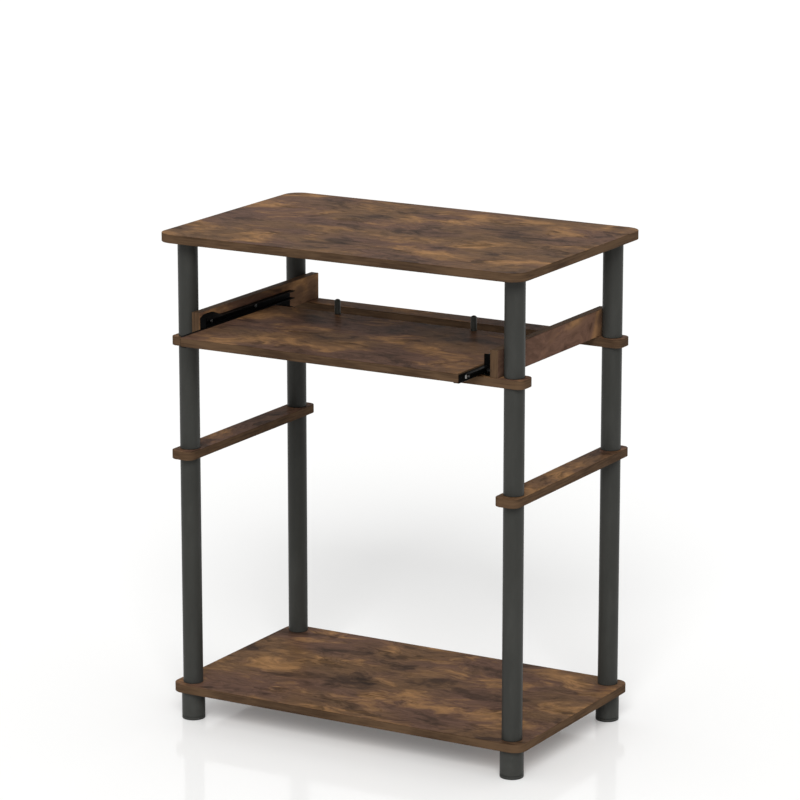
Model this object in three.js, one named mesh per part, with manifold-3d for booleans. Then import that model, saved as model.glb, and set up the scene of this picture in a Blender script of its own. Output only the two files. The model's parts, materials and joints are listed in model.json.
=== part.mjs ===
import * as THREE from "three";
import { mergeVertices } from "three/addons/utils/BufferGeometryUtils.js";
import Module from "manifold-3d";

// A small computer desk: boards threaded on four posts, and a keyboard tray on roller slides.
// Lengths are millimetres. X runs to the right, the front faces -Y, and Z is up from the floor.
// The origin is on the floor, in the middle of the four posts.

// Boards
const boardThickness = 13;
const desktopWidth = 606;
const desktopDepth = 388;
const desktopCornerRadius = 26;
const desktopPastTubeSide = 15; // from a tube's side to the desktop's side edge
const desktopPastTubeFront = 27; // from a tube's front to the desktop's front edge, and alike behind
const shelfPastTubeSide = 11;
const shelfPastTubeFront = 9;
const shelfCornerRadius = 20;
const crossBoardPastTube = 4; // how much wider than a tube the narrow boards are, on each side
const crossBoardCornerRadius = 12;
const stretcherPastTube = 7; // a stretcher's end beyond the tube
const midRailPastTube = 13; // a mid rail's end beyond the tube

// Posts, as the spans of tube between the boards
const footHeight = 44; // floor to the shelf's underside
const lowerTubeSpan = 351; // shelf to mid rails
const middleTubeSpan = 158; // mid rails to stretchers
const upperTubeSpan = 145; // stretchers to desktop
const tubeDiameter = 30;
const tubeWall = 1.6;
const tubeRimChamfer = 0.8;
const bushDepth = 16; // the threaded bush that closes each end of a tube
const studDiameter = 14;
const studEngagement = 14; // length of a stud inside a tube's bush
const studEndChamfer = 1.2;
const studBlindDepth = 9; // length of a stud in the desktop's underside
const threadGap = 0.3; // radial, between a stud and the thread that it is in
const studHoleGap = 0.8; // radial, where a stud passes through a board
const seatGap = 0.2; // between pieces that sit on each other

// Feet
const footDiameter = 35;
const footEdgeRadius = 3;
const footGrooveHeight = 5; // floor to the middle of the ring groove
const footGrooveDepth = 0.6;

// Keyboard tray and the panels that carry it
const panelToTube = 2; // from a panel's outer face to the tubes
const panelEndInset = 1.5; // from a panel's ends to the stretchers' outer edges
const panelAboveRail = 11; // panel height above the slide
const trayLift = 5; // stretchers' top to the tray's underside
const trayFrontProud = 4; // how far the closed tray stands in front of the stretcher
const trayPulledOut = 65; // how far the tray is drawn out here
const trayPastRail = 9; // tray behind the rear end of its rails

// Keyboard stops
const stopDiameter = 9;
const stopHeight = 23; // above the tray
const stopDomeHeight = 3.2;
const stopSpigotDiameter = 5;
const stopSpigotLength = 8;
const stopSpacing = 232; // between the two stops' axes
const stopFromRear = 7; // from the tray's rear edge to the stops' axes

// Roller slides
const slideLength = 250;
const trayTravelShare = 0.75; // of the slide's length, from closed to fully open
const slideSpace = 12.7; // between the tray's side and the panel
const railSteel = 1.2; // sheet thickness
const railRunningGap = 0.8;
const channelLift = 2; // stretchers' top to the channel's underside
const screwBand = 9.8; // height between the channel's inner track and its top flange
const cabinetRailSetback = 2; // behind the panel's front end
const trayRailSetback = 2; // behind the tray's front edge
const trayRailLip = 8; // how far the tray rail reaches under the tray
const hoodLength = 36; // raised hood at the front of the channel
const hoodRamp = 10; // sloping part at each end of the hood
const hoodRise = 8;
const hoodFrontShare = 0.5; // of the rise, at the hood's front end
const travelStopHeight = 2.4; // stamped stops on the channel's lower flange
const travelStopLength = 4;
const frontRollerDiameter = 11;
const rollerWidth = 6;
const rollerChamfer = 0.7;
const rollerGap = 0.3; // between a roller and the sheet above or below it
const rollerSetback = 10; // from a rail's end to its roller's axis
const pinDiameter = 4;
const pinRunningGap = 0.3; // radial, in the roller
const pinHeadDiameter = 6;
const pinHeadThickness = 0.8;

// Rail screws
const screwDiameter = 3.4;
const screwHeadDiameter = 6.4;
const screwTip = 2;
const screwHoleGap = 0.2; // radial
const cabinetScrewLength = 10;
const cabinetScrewHead = 1.8;
const trayScrewLength = 14;
const trayScrewHead = 0.5;
const cabinetScrewShares = { front: 0.112, rear: 0.6 }; // of the slide's length, from its front
const trayScrewShares = { front: 0.08, rear: 0.86 };

// Facets of round shapes, and how far a cutter reaches past what it cuts
const postSegments = 24;
const smallSegments = 16;
const cornerSegments = 6;
const edgeSegments = 3;
const cutOverrun = 1;

// Places that follow from the sizes above
const tubeRadius = tubeDiameter / 2;
const studRadius = studDiameter / 2;
const postX = desktopWidth / 2 - desktopPastTubeSide - tubeRadius;
const postY = desktopDepth / 2 - desktopPastTubeFront - tubeRadius;
const crossBoardWidth = tubeDiameter + 2 * crossBoardPastTube;
const shelfBottom = footHeight;
const shelfTop = shelfBottom + boardThickness;
const midRailBottom = shelfTop + lowerTubeSpan;
const midRailTop = midRailBottom + boardThickness;
const stretcherBottom = midRailTop + middleTubeSpan;
const stretcherTop = stretcherBottom + boardThickness;
const desktopBottom = stretcherTop + upperTubeSpan;
const frameFront = -(postY + crossBoardWidth / 2); // front edge of the front stretcher

const posts = {
  front_left: [-postX, -postY],
  front_right: [postX, -postY],
  rear_left: [-postX, postY],
  rear_right: [postX, postY],
};
const sides = { left: -1, right: 1 };

// The slide's section. Each x is measured from the middle of the desk, each z from the stretchers' top.
const panelInnerX = postX - tubeRadius - panelToTube - boardThickness;
const trayHalfWidth = panelInnerX - slideSpace;
const trayWebInnerX = trayHalfWidth + seatGap;
const trayWebOuterX = trayWebInnerX + railSteel;
const channelWebOuterX = panelInnerX - seatGap;
const channelWebInnerX = channelWebOuterX - railSteel;
const channelTipX = trayWebOuterX + railRunningGap;
const runnerTipX = channelWebInnerX - railRunningGap;
const rollerMiddleX = (trayWebOuterX + channelWebInnerX) / 2;
const lowerTrackZ = channelLift + railSteel;
const frontRollerRadius = frontRollerDiameter / 2;
const frontRollerZ = lowerTrackZ + rollerGap + frontRollerRadius;
const runnerBottomZ = frontRollerZ + frontRollerRadius + rollerGap;
const runnerTopZ = runnerBottomZ + railSteel;
const upperTrackZ = runnerTopZ + railRunningGap;
const rearRollerRadius = (upperTrackZ - lowerTrackZ) / 2 - rollerGap;
const rearRollerZ = (upperTrackZ + lowerTrackZ) / 2;
const channelTopZ = upperTrackZ + railSteel + screwBand + railSteel;
const lipTopZ = trayLift - seatGap;
const lipBottomZ = lipTopZ - railSteel;
const cabinetScrewZ = upperTrackZ + railSteel + screwBand / 2;
const trayScrewZ = (lipTopZ + runnerBottomZ) / 2;
const panelHeight = channelTopZ + panelAboveRail;
const panelFront = frameFront + panelEndInset;
const channelFront = panelFront + cabinetRailSetback;
const trayDepth = trayRailSetback + slideLength + trayPastRail;
const trayFront = frameFront - trayFrontProud - trayPulledOut;
const trayTravel = trayTravelShare * slideLength;

// The rear roller's axis from the front end of either rail, with the tray as it stands here
const rearRollerOnTrayRail = slideLength - rollerSetback;
const rearRollerInChannel = trayFront + trayRailSetback + rearRollerOnTrayRail - channelFront;

const wasm = await Module();
wasm.setup();

// Finishes
function material(color, roughness, metalness) {
  return new THREE.MeshStandardMaterial({ color, roughness, metalness });
}
const wood = material("#6d4c36", 0.5, 0);
const charcoal = material("#3d3e3b", 0.45, 0);
const footPlastic = material("#393a37", 0.5, 0);
const blackSteel = material("#0d0e0d", 0.35, 0.6);
const zinc = material("#b4b3ac", 0.3, 0.9);
const nylon = material("#161716", 0.5, 0);
const stopPlastic = material("#34352f", 0.45, 0);

// A closed geometry as a solid that can be cut and joined, and back
function solid(geometry) {
  const plain = geometry.clone();
  plain.deleteAttribute("normal");
  plain.deleteAttribute("uv");
  const merged = mergeVertices(plain);
  return new wasm.Manifold(
    new wasm.Mesh({
      numProp: 3,
      vertProperties: new Float32Array(merged.attributes.position.array),
      triVerts: new Uint32Array(merged.index.array),
    }),
  );
}
function geometryOf(body) {
  const { vertProperties, triVerts } = body.getMesh();
  const shell = new THREE.BufferGeometry();
  shell.setAttribute("position", new THREE.BufferAttribute(vertProperties, 3));
  shell.setIndex(new THREE.BufferAttribute(triVerts, 1));
  const faceted = shell.toNonIndexed();
  faceted.computeVertexNormals();
  return faceted;
}
function cut(geometry, cutters) {
  return geometryOf(cutters.reduce((body, cutter) => body.subtract(solid(cutter)), solid(geometry)));
}

// A profile of [radius, height] pairs turned about Z
function turned(profile, segments) {
  const points = profile.map(([radius, height]) => new THREE.Vector2(radius, height));
  return new THREE.LatheGeometry(points, segments).rotateX(Math.PI / 2);
}
function cylinder(radius, bottom, top, segments) {
  return turned([[0, bottom], [radius, bottom], [radius, top], [0, top]], segments);
}

// A section of [x, z] pairs carried back along Y, from one y to another
function extrudedAlongY(section, from, to) {
  const shape = new THREE.Shape(section.map(([x, z]) => new THREE.Vector2(x, z)));
  const bar = new THREE.ExtrudeGeometry(shape, { depth: to - from, bevelEnabled: false });
  return bar.rotateX(Math.PI / 2).translate(0, to, 0);
}

// A closed skin over sections of [x, z] pairs at growing y, all with the same number of corners
function lofted(sections) {
  const flat = ({ corners }) => corners.map(([x, z]) => new THREE.Vector2(x, z));
  const turnRound = THREE.ShapeUtils.isClockWise(flat(sections[0]));
  const rings = sections.map(({ y, corners }) => ({
    y,
    corners: turnRound ? [...corners].reverse() : corners,
  }));
  const count = rings[0].corners.length;
  const at = (ring, i) => ring * count + (i % count);
  const faces = [];
  for (let ring = 0; ring < rings.length - 1; ring += 1) {
    for (let i = 0; i < count; i += 1) {
      faces.push(at(ring, i), at(ring + 1, i), at(ring + 1, i + 1));
      faces.push(at(ring, i), at(ring + 1, i + 1), at(ring, i + 1));
    }
  }
  const last = rings.length - 1;
  for (const [a, b, c] of THREE.ShapeUtils.triangulateShape(flat(rings[0]), [])) {
    faces.push(a, b, c);
  }
  for (const [a, b, c] of THREE.ShapeUtils.triangulateShape(flat(rings[last]), [])) {
    faces.push(at(last, c), at(last, b), at(last, a));
  }
  const skin = new THREE.BufferGeometry();
  const points = rings.flatMap(({ y, corners }) => corners.flatMap(([x, z]) => [x, y, z]));
  skin.setAttribute("position", new THREE.Float32BufferAttribute(points, 3));
  skin.setIndex(faces);
  return skin;
}

// A rectangle's outline with round corners, and a circle's, as points
function arc(centreX, centreY, radius, from, to, segments) {
  return Array.from({ length: segments + 1 }, (_, i) => {
    const angle = from + ((to - from) * i) / segments;
    return new THREE.Vector2(centreX + radius * Math.cos(angle), centreY + radius * Math.sin(angle));
  });
}
function roundedOutline(width, depth, cornerRadius) {
  const radius = Math.min(cornerRadius, width / 2, depth / 2);
  const x = width / 2 - radius;
  const y = depth / 2 - radius;
  const corners = [[x, y], [-x, y], [-x, -y], [x, -y]];
  return corners.flatMap(([cornerX, cornerY], i) => {
    const from = (i * Math.PI) / 2;
    return arc(cornerX, cornerY, radius, from, from + Math.PI / 2, cornerSegments);
  });
}
function circleOutline([x, y], radius) {
  return arc(x, y, radius, 0, 2 * Math.PI, postSegments).slice(0, -1);
}

// A flat board with round corners and a stud hole at each given place
function boardGeometry(width, depth, cornerRadius, holePlaces) {
  const shape = new THREE.Shape(roundedOutline(width, depth, cornerRadius));
  shape.holes = holePlaces.map((place) => new THREE.Path(circleOutline(place, studRadius + studHoleGap)));
  return new THREE.ExtrudeGeometry(shape, { depth: boardThickness, bevelEnabled: false });
}

function makeMesh(name, geometry, finish, x, y, z) {
  const mesh = new THREE.Mesh(geometry, finish);
  mesh.name = name;
  mesh.position.set(x, y, z);
  return mesh;
}

// Desktop, with blind threaded holes for the studs in its underside
function makeDesktop() {
  const holes = Object.values(posts).map(([x, y]) =>
    cylinder(studRadius + threadGap, -cutOverrun, studBlindDepth + seatGap, postSegments).translate(x, y, 0),
  );
  const board = boardGeometry(desktopWidth, desktopDepth, desktopCornerRadius, []);
  return makeMesh("desktop", cut(board, holes), wood, 0, 0, desktopBottom);
}

function makeBottomShelf() {
  const width = 2 * (postX + tubeRadius + shelfPastTubeSide);
  const depth = 2 * (postY + tubeRadius + shelfPastTubeFront);
  const board = boardGeometry(width, depth, shelfCornerRadius, Object.values(posts));
  return makeMesh("bottom_shelf", board, wood, 0, 0, shelfBottom);
}

// The narrow boards: stretchers along X at tray height, mid rails along Y at mid height
function makeStretchers() {
  const length = 2 * (postX + tubeRadius + stretcherPastTube);
  const holes = [[-postX, 0], [postX, 0]];
  const board = boardGeometry(length, crossBoardWidth, crossBoardCornerRadius, holes);
  return [
    makeMesh("front_stretcher", board, wood, 0, -postY, stretcherBottom),
    makeMesh("back_stretcher", board, wood, 0, postY, stretcherBottom),
  ];
}
function makeMidRails() {
  const length = 2 * (postY + tubeRadius + midRailPastTube);
  const holes = [[0, -postY], [0, postY]];
  const board = boardGeometry(crossBoardWidth, length, crossBoardCornerRadius, holes);
  return Object.entries(sides).map(([name, side]) =>
    makeMesh(`${name}_mid_rail`, board, wood, side * postX, 0, midRailBottom),
  );
}

// A hollow tube with a rim at each end and a threaded bush inside each end
function tubeGeometry(span) {
  const length = span - 2 * seatGap;
  const bore = studRadius + threadGap;
  const inside = tubeRadius - tubeWall;
  const profile = [
    [bore, 0],
    [tubeRadius - tubeRimChamfer, 0],
    [tubeRadius, tubeRimChamfer],
    [tubeRadius, length - tubeRimChamfer],
    [tubeRadius - tubeRimChamfer, length],
    [bore, length],
    [bore, length - bushDepth],
    [inside, length - bushDepth],
    [inside, bushDepth],
    [bore, bushDepth],
    [bore, 0],
  ];
  return turned(profile, postSegments);
}
function makeTubes() {
  const levels = {
    lower: [shelfTop, lowerTubeSpan],
    middle: [midRailTop, middleTubeSpan],
    upper: [stretcherTop, upperTubeSpan],
  };
  return Object.entries(levels).flatMap(([level, [bottom, span]]) =>
    Object.entries(posts).map(([post, [x, y]]) =>
      makeMesh(`${level}_tube_${post}`, tubeGeometry(span), charcoal, x, y, bottom + seatGap),
    ),
  );
}

// Studs that draw the tubes together through a board, or hold the upper tubes to the desktop
function studGeometry(length) {
  const profile = [
    [0, 0],
    [studRadius - studEndChamfer, 0],
    [studRadius, studEndChamfer],
    [studRadius, length - studEndChamfer],
    [studRadius - studEndChamfer, length],
    [0, length],
  ];
  return turned(profile, smallSegments);
}
function makeStuds() {
  const throughBoard = boardThickness + 2 * (seatGap + studEngagement);
  const intoDesktop = studBlindDepth + seatGap + studEngagement;
  const levels = {
    mid_rail: [midRailBottom, throughBoard],
    stretcher: [stretcherBottom, throughBoard],
    desktop: [desktopBottom, intoDesktop],
  };
  return Object.entries(levels).flatMap(([level, [boardBottom, length]]) => {
    const bottom = boardBottom - seatGap - studEngagement;
    return Object.entries(posts).map(([post, [x, y]]) =>
      makeMesh(`${level}_stud_${post}`, studGeometry(length), zinc, x, y, bottom),
    );
  });
}

// Feet, each with a ring groove and its own stud, which passes through the shelf into the lower tube
function footGeometry() {
  const radius = footDiameter / 2;
  const bodyTop = footHeight - seatGap;
  const studTop = footHeight + boardThickness + seatGap + studEngagement;
  const edge = arc(radius - footEdgeRadius, footEdgeRadius, footEdgeRadius, -Math.PI / 2, 0, edgeSegments);
  const profile = [
    [0, 0],
    ...edge.map((point) => [point.x, point.y]),
    [radius, footGrooveHeight - footGrooveDepth],
    [radius - footGrooveDepth, footGrooveHeight],
    [radius, footGrooveHeight + footGrooveDepth],
    [radius, bodyTop],
    [studRadius, bodyTop],
    [studRadius, studTop - studEndChamfer],
    [studRadius - studEndChamfer, studTop],
    [0, studTop],
  ];
  return turned(profile, postSegments);
}
function makeFeet() {
  return Object.entries(posts).map(([post, [x, y]]) =>
    makeMesh(`foot_${post}`, footGeometry(), footPlastic, x, y, 0),
  );
}

// A cutter along X for a screw or pin, from x = 0 to the given reach on the given side
function crossHole(radius, reach, side, y, z) {
  const hole = cylinder(radius, -cutOverrun, reach, smallSegments);
  return hole.rotateY((side * Math.PI) / 2).translate(0, y, z);
}

// Panels on edge that stand on the stretchers and carry the slides
function makeSlidePanel(name, side) {
  const length = -2 * panelFront;
  const board = new THREE.BoxGeometry(boardThickness, length, panelHeight);
  board.translate((side * boardThickness) / 2, length / 2, panelHeight / 2);
  const holes = Object.values(cabinetScrewShares).map((share) =>
    crossHole(
      screwDiameter / 2 + screwHoleGap,
      cabinetScrewLength,
      side,
      cabinetRailSetback + share * slideLength,
      cabinetScrewZ,
    ),
  );
  return makeMesh(`${name}_slide_panel`, cut(board, holes), wood, side * panelInnerX, -cabinetRailSetback, 0);
}

// The raised hood over the channel's front end: the web rises along Y and the flange slopes up to it
function hoodGeometry(rail) {
  const flangeShare = (channelWebInnerX - channelTipX) / (channelWebOuterX - channelTipX);
  const bottom = channelTopZ - railSteel;
  const section = (y, rise) => ({
    y,
    corners: [
      [rail(channelTipX), bottom],
      [rail(channelTipX), channelTopZ],
      [rail(channelWebOuterX), channelTopZ + rise],
      [rail(channelWebOuterX), bottom],
      [rail(channelWebInnerX), bottom],
      [rail(channelWebInnerX), bottom + flangeShare * rise],
    ],
  });
  return lofted([
    section(0, hoodFrontShare * hoodRise),
    section(hoodRamp, hoodRise),
    section(hoodLength - hoodRamp, hoodRise),
    section(hoodLength, railSteel),
  ]);
}

// Cabinet rail: a channel that opens towards the tray, with a lower and an upper track for the rear
// roller, stamped stops at the ends of its travel, a flange along the top behind the hood, and a tab
// folded across the front end above the tracks
function channelGeometry(side) {
  const rail = (x) => side * (x - panelInnerX);
  const tracks = [
    [rail(channelTipX), channelLift],
    [rail(channelWebOuterX), channelLift],
    [rail(channelWebOuterX), channelTopZ],
    [rail(channelWebInnerX), channelTopZ],
    [rail(channelWebInnerX), upperTrackZ + railSteel],
    [rail(channelTipX), upperTrackZ + railSteel],
    [rail(channelTipX), upperTrackZ],
    [rail(channelWebInnerX), upperTrackZ],
    [rail(channelWebInnerX), lowerTrackZ],
    [rail(channelTipX), lowerTrackZ],
  ];
  const strip = (bottom, top) => [
    [rail(channelTipX), bottom],
    [rail(channelWebOuterX), bottom],
    [rail(channelWebOuterX), top],
    [rail(channelTipX), top],
  ];
  const flange = extrudedAlongY(strip(channelTopZ - railSteel, channelTopZ), hoodLength, slideLength);
  const frontTab = extrudedAlongY(strip(upperTrackZ, channelTopZ), 0, railSteel);
  const stopSection = strip(channelLift, lowerTrackZ + travelStopHeight);
  const stops = travelStopSpans().map(([from, to]) => extrudedAlongY(stopSection, from, to));
  const body = [flange, frontTab, hoodGeometry(rail), ...stops].reduce(
    (whole, piece) => whole.add(solid(piece)),
    solid(extrudedAlongY(tracks, 0, slideLength)),
  );
  return geometryOf(channelHoles(rail, side).reduce((whole, hole) => whole.subtract(solid(hole)), body));
}

// Where the stops begin and end along the channel: the rear roller rests on their inner edges
function travelStopSpans() {
  const edgeHeight = rearRollerZ - lowerTrackZ - travelStopHeight;
  const reach = Math.sqrt(rearRollerRadius ** 2 - edgeHeight ** 2) + rollerGap;
  const open = rearRollerInChannel - (trayTravel - trayPulledOut) - reach;
  const closed = rearRollerInChannel + trayPulledOut + reach;
  return [
    [open - travelStopLength, open],
    [closed, closed + travelStopLength],
  ];
}
function channelHoles(rail, side) {
  const reach = railSteel + seatGap + cutOverrun;
  const screwHoles = Object.values(cabinetScrewShares).map((share) =>
    crossHole(screwDiameter / 2 + screwHoleGap, reach, side, share * slideLength, cabinetScrewZ),
  );
  const pinHole = crossHole(pinDiameter / 2 + seatGap, reach, side, rollerSetback, frontRollerZ);
  return [...screwHoles, pinHole].map((hole) => hole.translate(rail(channelWebInnerX), 0, 0));
}
function makeCabinetRail(name, side) {
  return makeMesh(`${name}_cabinet_rail`, channelGeometry(side), blackSteel, side * panelInnerX, 0, 0);
}

// Tray rail: a lip under the tray, a web up its side, and a runner that rides on the front roller
// and ends ahead of the rear one
function trayRailGeometry(side) {
  const rail = (x) => side * (x - trayHalfWidth);
  const angle = [
    [rail(trayHalfWidth - trayRailLip), lipBottomZ],
    [rail(trayWebOuterX), lipBottomZ],
    [rail(trayWebOuterX), runnerTopZ],
    [rail(trayWebInnerX), runnerTopZ],
    [rail(trayWebInnerX), lipTopZ],
    [rail(trayHalfWidth - trayRailLip), lipTopZ],
  ];
  const runner = [
    [rail(trayWebInnerX), runnerBottomZ],
    [rail(runnerTipX), runnerBottomZ],
    [rail(runnerTipX), runnerTopZ],
    [rail(trayWebInnerX), runnerTopZ],
  ];
  const runnerEnd = rearRollerOnTrayRail - rearRollerRadius - railRunningGap;
  const body = solid(extrudedAlongY(angle, 0, slideLength)).add(solid(extrudedAlongY(runner, 0, runnerEnd)));
  const reach = railSteel + seatGap + cutOverrun;
  const holes = Object.values(trayScrewShares).map((share) =>
    crossHole(screwDiameter / 2 + screwHoleGap, reach, side, share * slideLength, trayScrewZ),
  );
  holes.push(crossHole(pinDiameter / 2 + seatGap, reach, side, rearRollerOnTrayRail, rearRollerZ));
  return geometryOf(holes.reduce((whole, hole) => whole.subtract(solid(hole)), body));
}
function makeTrayRail(name, side) {
  const x = side * trayHalfWidth;
  return makeMesh(`${name}_tray_rail`, trayRailGeometry(side), blackSteel, x, trayRailSetback, 0);
}

// Rollers and the pins that they turn on. A pin starts in its rail's web and ends in a head.
function rollerGeometry(radius) {
  const bore = pinDiameter / 2 + pinRunningGap;
  const profile = [
    [bore, 0],
    [radius - rollerChamfer, 0],
    [radius, rollerChamfer],
    [radius, rollerWidth - rollerChamfer],
    [radius - rollerChamfer, rollerWidth],
    [bore, rollerWidth],
    [bore, 0],
  ];
  return turned(profile, postSegments);
}
function pinGeometry(length) {
  const radius = pinDiameter / 2;
  const headRadius = pinHeadDiameter / 2;
  const end = length + pinHeadThickness;
  const profile = [[0, 0], [radius, 0], [radius, length], [headRadius, length], [headRadius, end], [0, end]];
  return turned(profile, smallSegments);
}
function makeRoller(name, side, radius, y, z) {
  const roller = makeMesh(name, rollerGeometry(radius), nylon, side * rollerMiddleX - rollerWidth / 2, y, z);
  roller.rotation.y = Math.PI / 2;
  return roller;
}
function makePin(name, side, webX, towards, y, z) {
  const headX = rollerMiddleX + towards * (rollerWidth / 2 + rollerGap);
  const pin = makeMesh(name, pinGeometry(Math.abs(headX - webX)), zinc, side * webX, y, z);
  pin.rotation.y = (side * towards * Math.PI) / 2;
  return pin;
}

// Screws along X: the head lies at the given x, and the shank runs outwards (1) or inwards (-1)
function screwGeometry(shankLength, headThickness) {
  const radius = screwDiameter / 2;
  const headRadius = screwHeadDiameter / 2;
  const profile = [
    [0, -headThickness],
    [headRadius - headThickness / 2, -headThickness],
    [headRadius, 0],
    [radius, 0],
    [radius, shankLength - screwTip],
    [0, shankLength],
  ];
  return turned(profile, smallSegments);
}
function makeScrew(name, geometry, side, headX, towards, y, z) {
  const screw = makeMesh(name, geometry, zinc, side * headX, y, z);
  screw.rotation.y = (side * towards * Math.PI) / 2;
  return screw;
}

// Keyboard tray, with blind holes for the rail screws and the keyboard stops
function makeTray() {
  const board = new THREE.BoxGeometry(2 * trayHalfWidth, trayDepth, boardThickness);
  board.translate(0, trayDepth / 2, boardThickness / 2);
  const reach = trayScrewLength;
  const sideHoles = Object.values(sides).flatMap((side) =>
    Object.values(trayScrewShares).map((share) =>
      crossHole(
        screwDiameter / 2 + screwHoleGap,
        reach,
        -side,
        trayRailSetback + share * slideLength,
        trayScrewZ - trayLift,
      ).translate(side * trayHalfWidth, 0, 0),
    ),
  );
  const stopHoles = Object.values(sides).map((side) =>
    cylinder(
      stopSpigotDiameter / 2 + seatGap,
      boardThickness - stopSpigotLength - seatGap,
      boardThickness + cutOverrun,
      smallSegments,
    ).translate((side * stopSpacing) / 2, trayDepth - stopFromRear, 0),
  );
  return makeMesh("keyboard_tray", cut(board, [...sideHoles, ...stopHoles]), wood, 0, 0, trayLift);
}

// Keyboard stops: domed pegs on spigots in the tray
function stopGeometry() {
  const radius = stopDiameter / 2;
  const straight = stopHeight - stopDomeHeight;
  const dome = arc(0, 0, 1, 0, Math.PI / 2, edgeSegments + 1);
  const profile = [
    [0, -stopSpigotLength],
    [stopSpigotDiameter / 2, -stopSpigotLength],
    [stopSpigotDiameter / 2, seatGap],
    [radius, seatGap],
    ...dome.slice(0, -1).map((point) => [radius * point.x, straight + stopDomeHeight * point.y]),
    [0, stopHeight],
  ];
  return turned(profile, smallSegments);
}
function makeKeyboardStop(name, side) {
  const x = (side * stopSpacing) / 2;
  const y = trayDepth - stopFromRear;
  return makeMesh(`${name}_keyboard_stop`, stopGeometry(), stopPlastic, x, y, trayLift + boardThickness);
}

// The fixed side of one slide. Its frame starts at the channel's front end, on the stretchers' level.
function makeFixedSide(name, side) {
  const screw = screwGeometry(cabinetScrewLength - seatGap, cabinetScrewHead);
  const headX = channelWebInnerX - seatGap;
  const screws = Object.entries(cabinetScrewShares).map(([place, share]) =>
    makeScrew(`${name}_cabinet_screw_${place}`, screw, side, headX, 1, share * slideLength, cabinetScrewZ),
  );
  return [
    makeSlidePanel(name, side),
    makeCabinetRail(name, side),
    ...screws,
    makeRoller(`${name}_front_roller`, side, frontRollerRadius, rollerSetback, frontRollerZ),
    makePin(`${name}_front_roller_pin`, side, channelWebOuterX, -1, rollerSetback, frontRollerZ),
  ];
}

// The sliding side. Its frame starts at the tray's front edge, on the stretchers' level.
function makeSlidingSide(name, side) {
  const screw = screwGeometry(trayScrewLength - seatGap, trayScrewHead);
  const screws = Object.entries(trayScrewShares).map(([place, share]) => {
    const y = trayRailSetback + share * slideLength;
    return makeScrew(`${name}_tray_screw_${place}`, screw, side, trayWebOuterX, -1, y, trayScrewZ);
  });
  const rollerY = trayRailSetback + rearRollerOnTrayRail;
  return [
    makeTrayRail(name, side),
    ...screws,
    makeKeyboardStop(name, side),
    makeRoller(`${name}_rear_roller`, side, rearRollerRadius, rollerY, rearRollerZ),
    makePin(`${name}_rear_roller_pin`, side, trayWebInnerX, 1, rollerY, rearRollerZ),
  ];
}

const frame = new THREE.Group();
frame.add(makeDesktop(), makeBottomShelf(), ...makeStretchers(), ...makeMidRails());
frame.add(...makeTubes(), ...makeStuds(), ...makeFeet());

const slides = new THREE.Group();
slides.position.set(0, channelFront, stretcherTop);

const tray = new THREE.Group();
tray.position.set(0, trayFront, stretcherTop);
tray.add(makeTray());

for (const [name, side] of Object.entries(sides)) {
  slides.add(...makeFixedSide(name, side));
  tray.add(...makeSlidingSide(name, side));
}

const desk = new THREE.Group();
desk.add(frame, slides, tray);

export default desk;
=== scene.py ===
import json
import math

import bpy
import numpy as np
from mathutils.geometry import tessellate_polygon
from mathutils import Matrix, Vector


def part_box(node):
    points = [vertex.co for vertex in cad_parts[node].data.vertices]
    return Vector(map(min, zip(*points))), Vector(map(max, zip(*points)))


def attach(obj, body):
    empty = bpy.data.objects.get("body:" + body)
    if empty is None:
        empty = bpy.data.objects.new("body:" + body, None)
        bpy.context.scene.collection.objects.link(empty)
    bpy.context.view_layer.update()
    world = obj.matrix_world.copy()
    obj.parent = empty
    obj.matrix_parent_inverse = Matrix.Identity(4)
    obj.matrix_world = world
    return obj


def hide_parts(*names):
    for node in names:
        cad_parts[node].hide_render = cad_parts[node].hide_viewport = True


# A small computer desk: boards threaded on four posts, and a keyboard tray on roller slides.
# Lengths are metres. X runs to the right, the front faces -Y, and Z is up from the floor.
# Every piece takes its place and its outer size from the CAD node that it stands for.

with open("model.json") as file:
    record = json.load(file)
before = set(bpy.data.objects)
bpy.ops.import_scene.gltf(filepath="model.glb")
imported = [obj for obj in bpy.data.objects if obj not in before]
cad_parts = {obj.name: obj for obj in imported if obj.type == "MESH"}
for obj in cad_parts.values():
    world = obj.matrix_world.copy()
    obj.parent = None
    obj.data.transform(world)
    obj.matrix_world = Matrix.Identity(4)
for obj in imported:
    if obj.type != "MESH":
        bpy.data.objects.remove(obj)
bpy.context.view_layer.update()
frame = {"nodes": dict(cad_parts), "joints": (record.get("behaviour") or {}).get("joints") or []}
print("frame loaded with", len(frame["nodes"]), "nodes")

# Camera
viewpoint = {
    "place": (2.7522, -4.7837, 1.8261), "turn": 29.918, "downward": 13.563,  # metres and degrees
    "lens": 172.37, "sensor": 36, "farthest": 200,  # millimetres, and metres for what is still seen
}

cameraData = bpy.data.cameras.new("deskCamera")
cameraData.sensor_width = viewpoint["sensor"]
cameraData.lens = viewpoint["lens"]
cameraData.clip_end = viewpoint["farthest"]
camera = bpy.data.objects.new("deskCamera", cameraData)
camera.location = viewpoint["place"]
camera.rotation_euler = (math.radians(90 - viewpoint["downward"]), 0, math.radians(viewpoint["turn"]))
bpy.context.scene.collection.objects.link(camera)
bpy.context.scene.camera = camera


# Node trees
def feed(tree, node, inputs):
    # inputs are sockets to link or plain values, by name or by number
    for key, value in inputs.items():
        if isinstance(value, bpy.types.NodeSocket):
            tree.links.new(value, node.inputs[key])
        else:
            node.inputs[key].default_value = value


def addNode(tree, kind, inputs=None, **settings):
    node = tree.nodes.new(kind)
    for key, value in settings.items():
        setattr(node, key, value)
    feed(tree, node, inputs or {})
    return node


def calculate(tree, operation, first, second=0.0, clamp=False):
    node = addNode(tree, "ShaderNodeMath", {0: first, 1: second}, operation=operation, use_clamp=clamp)
    return node.outputs[0]


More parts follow.
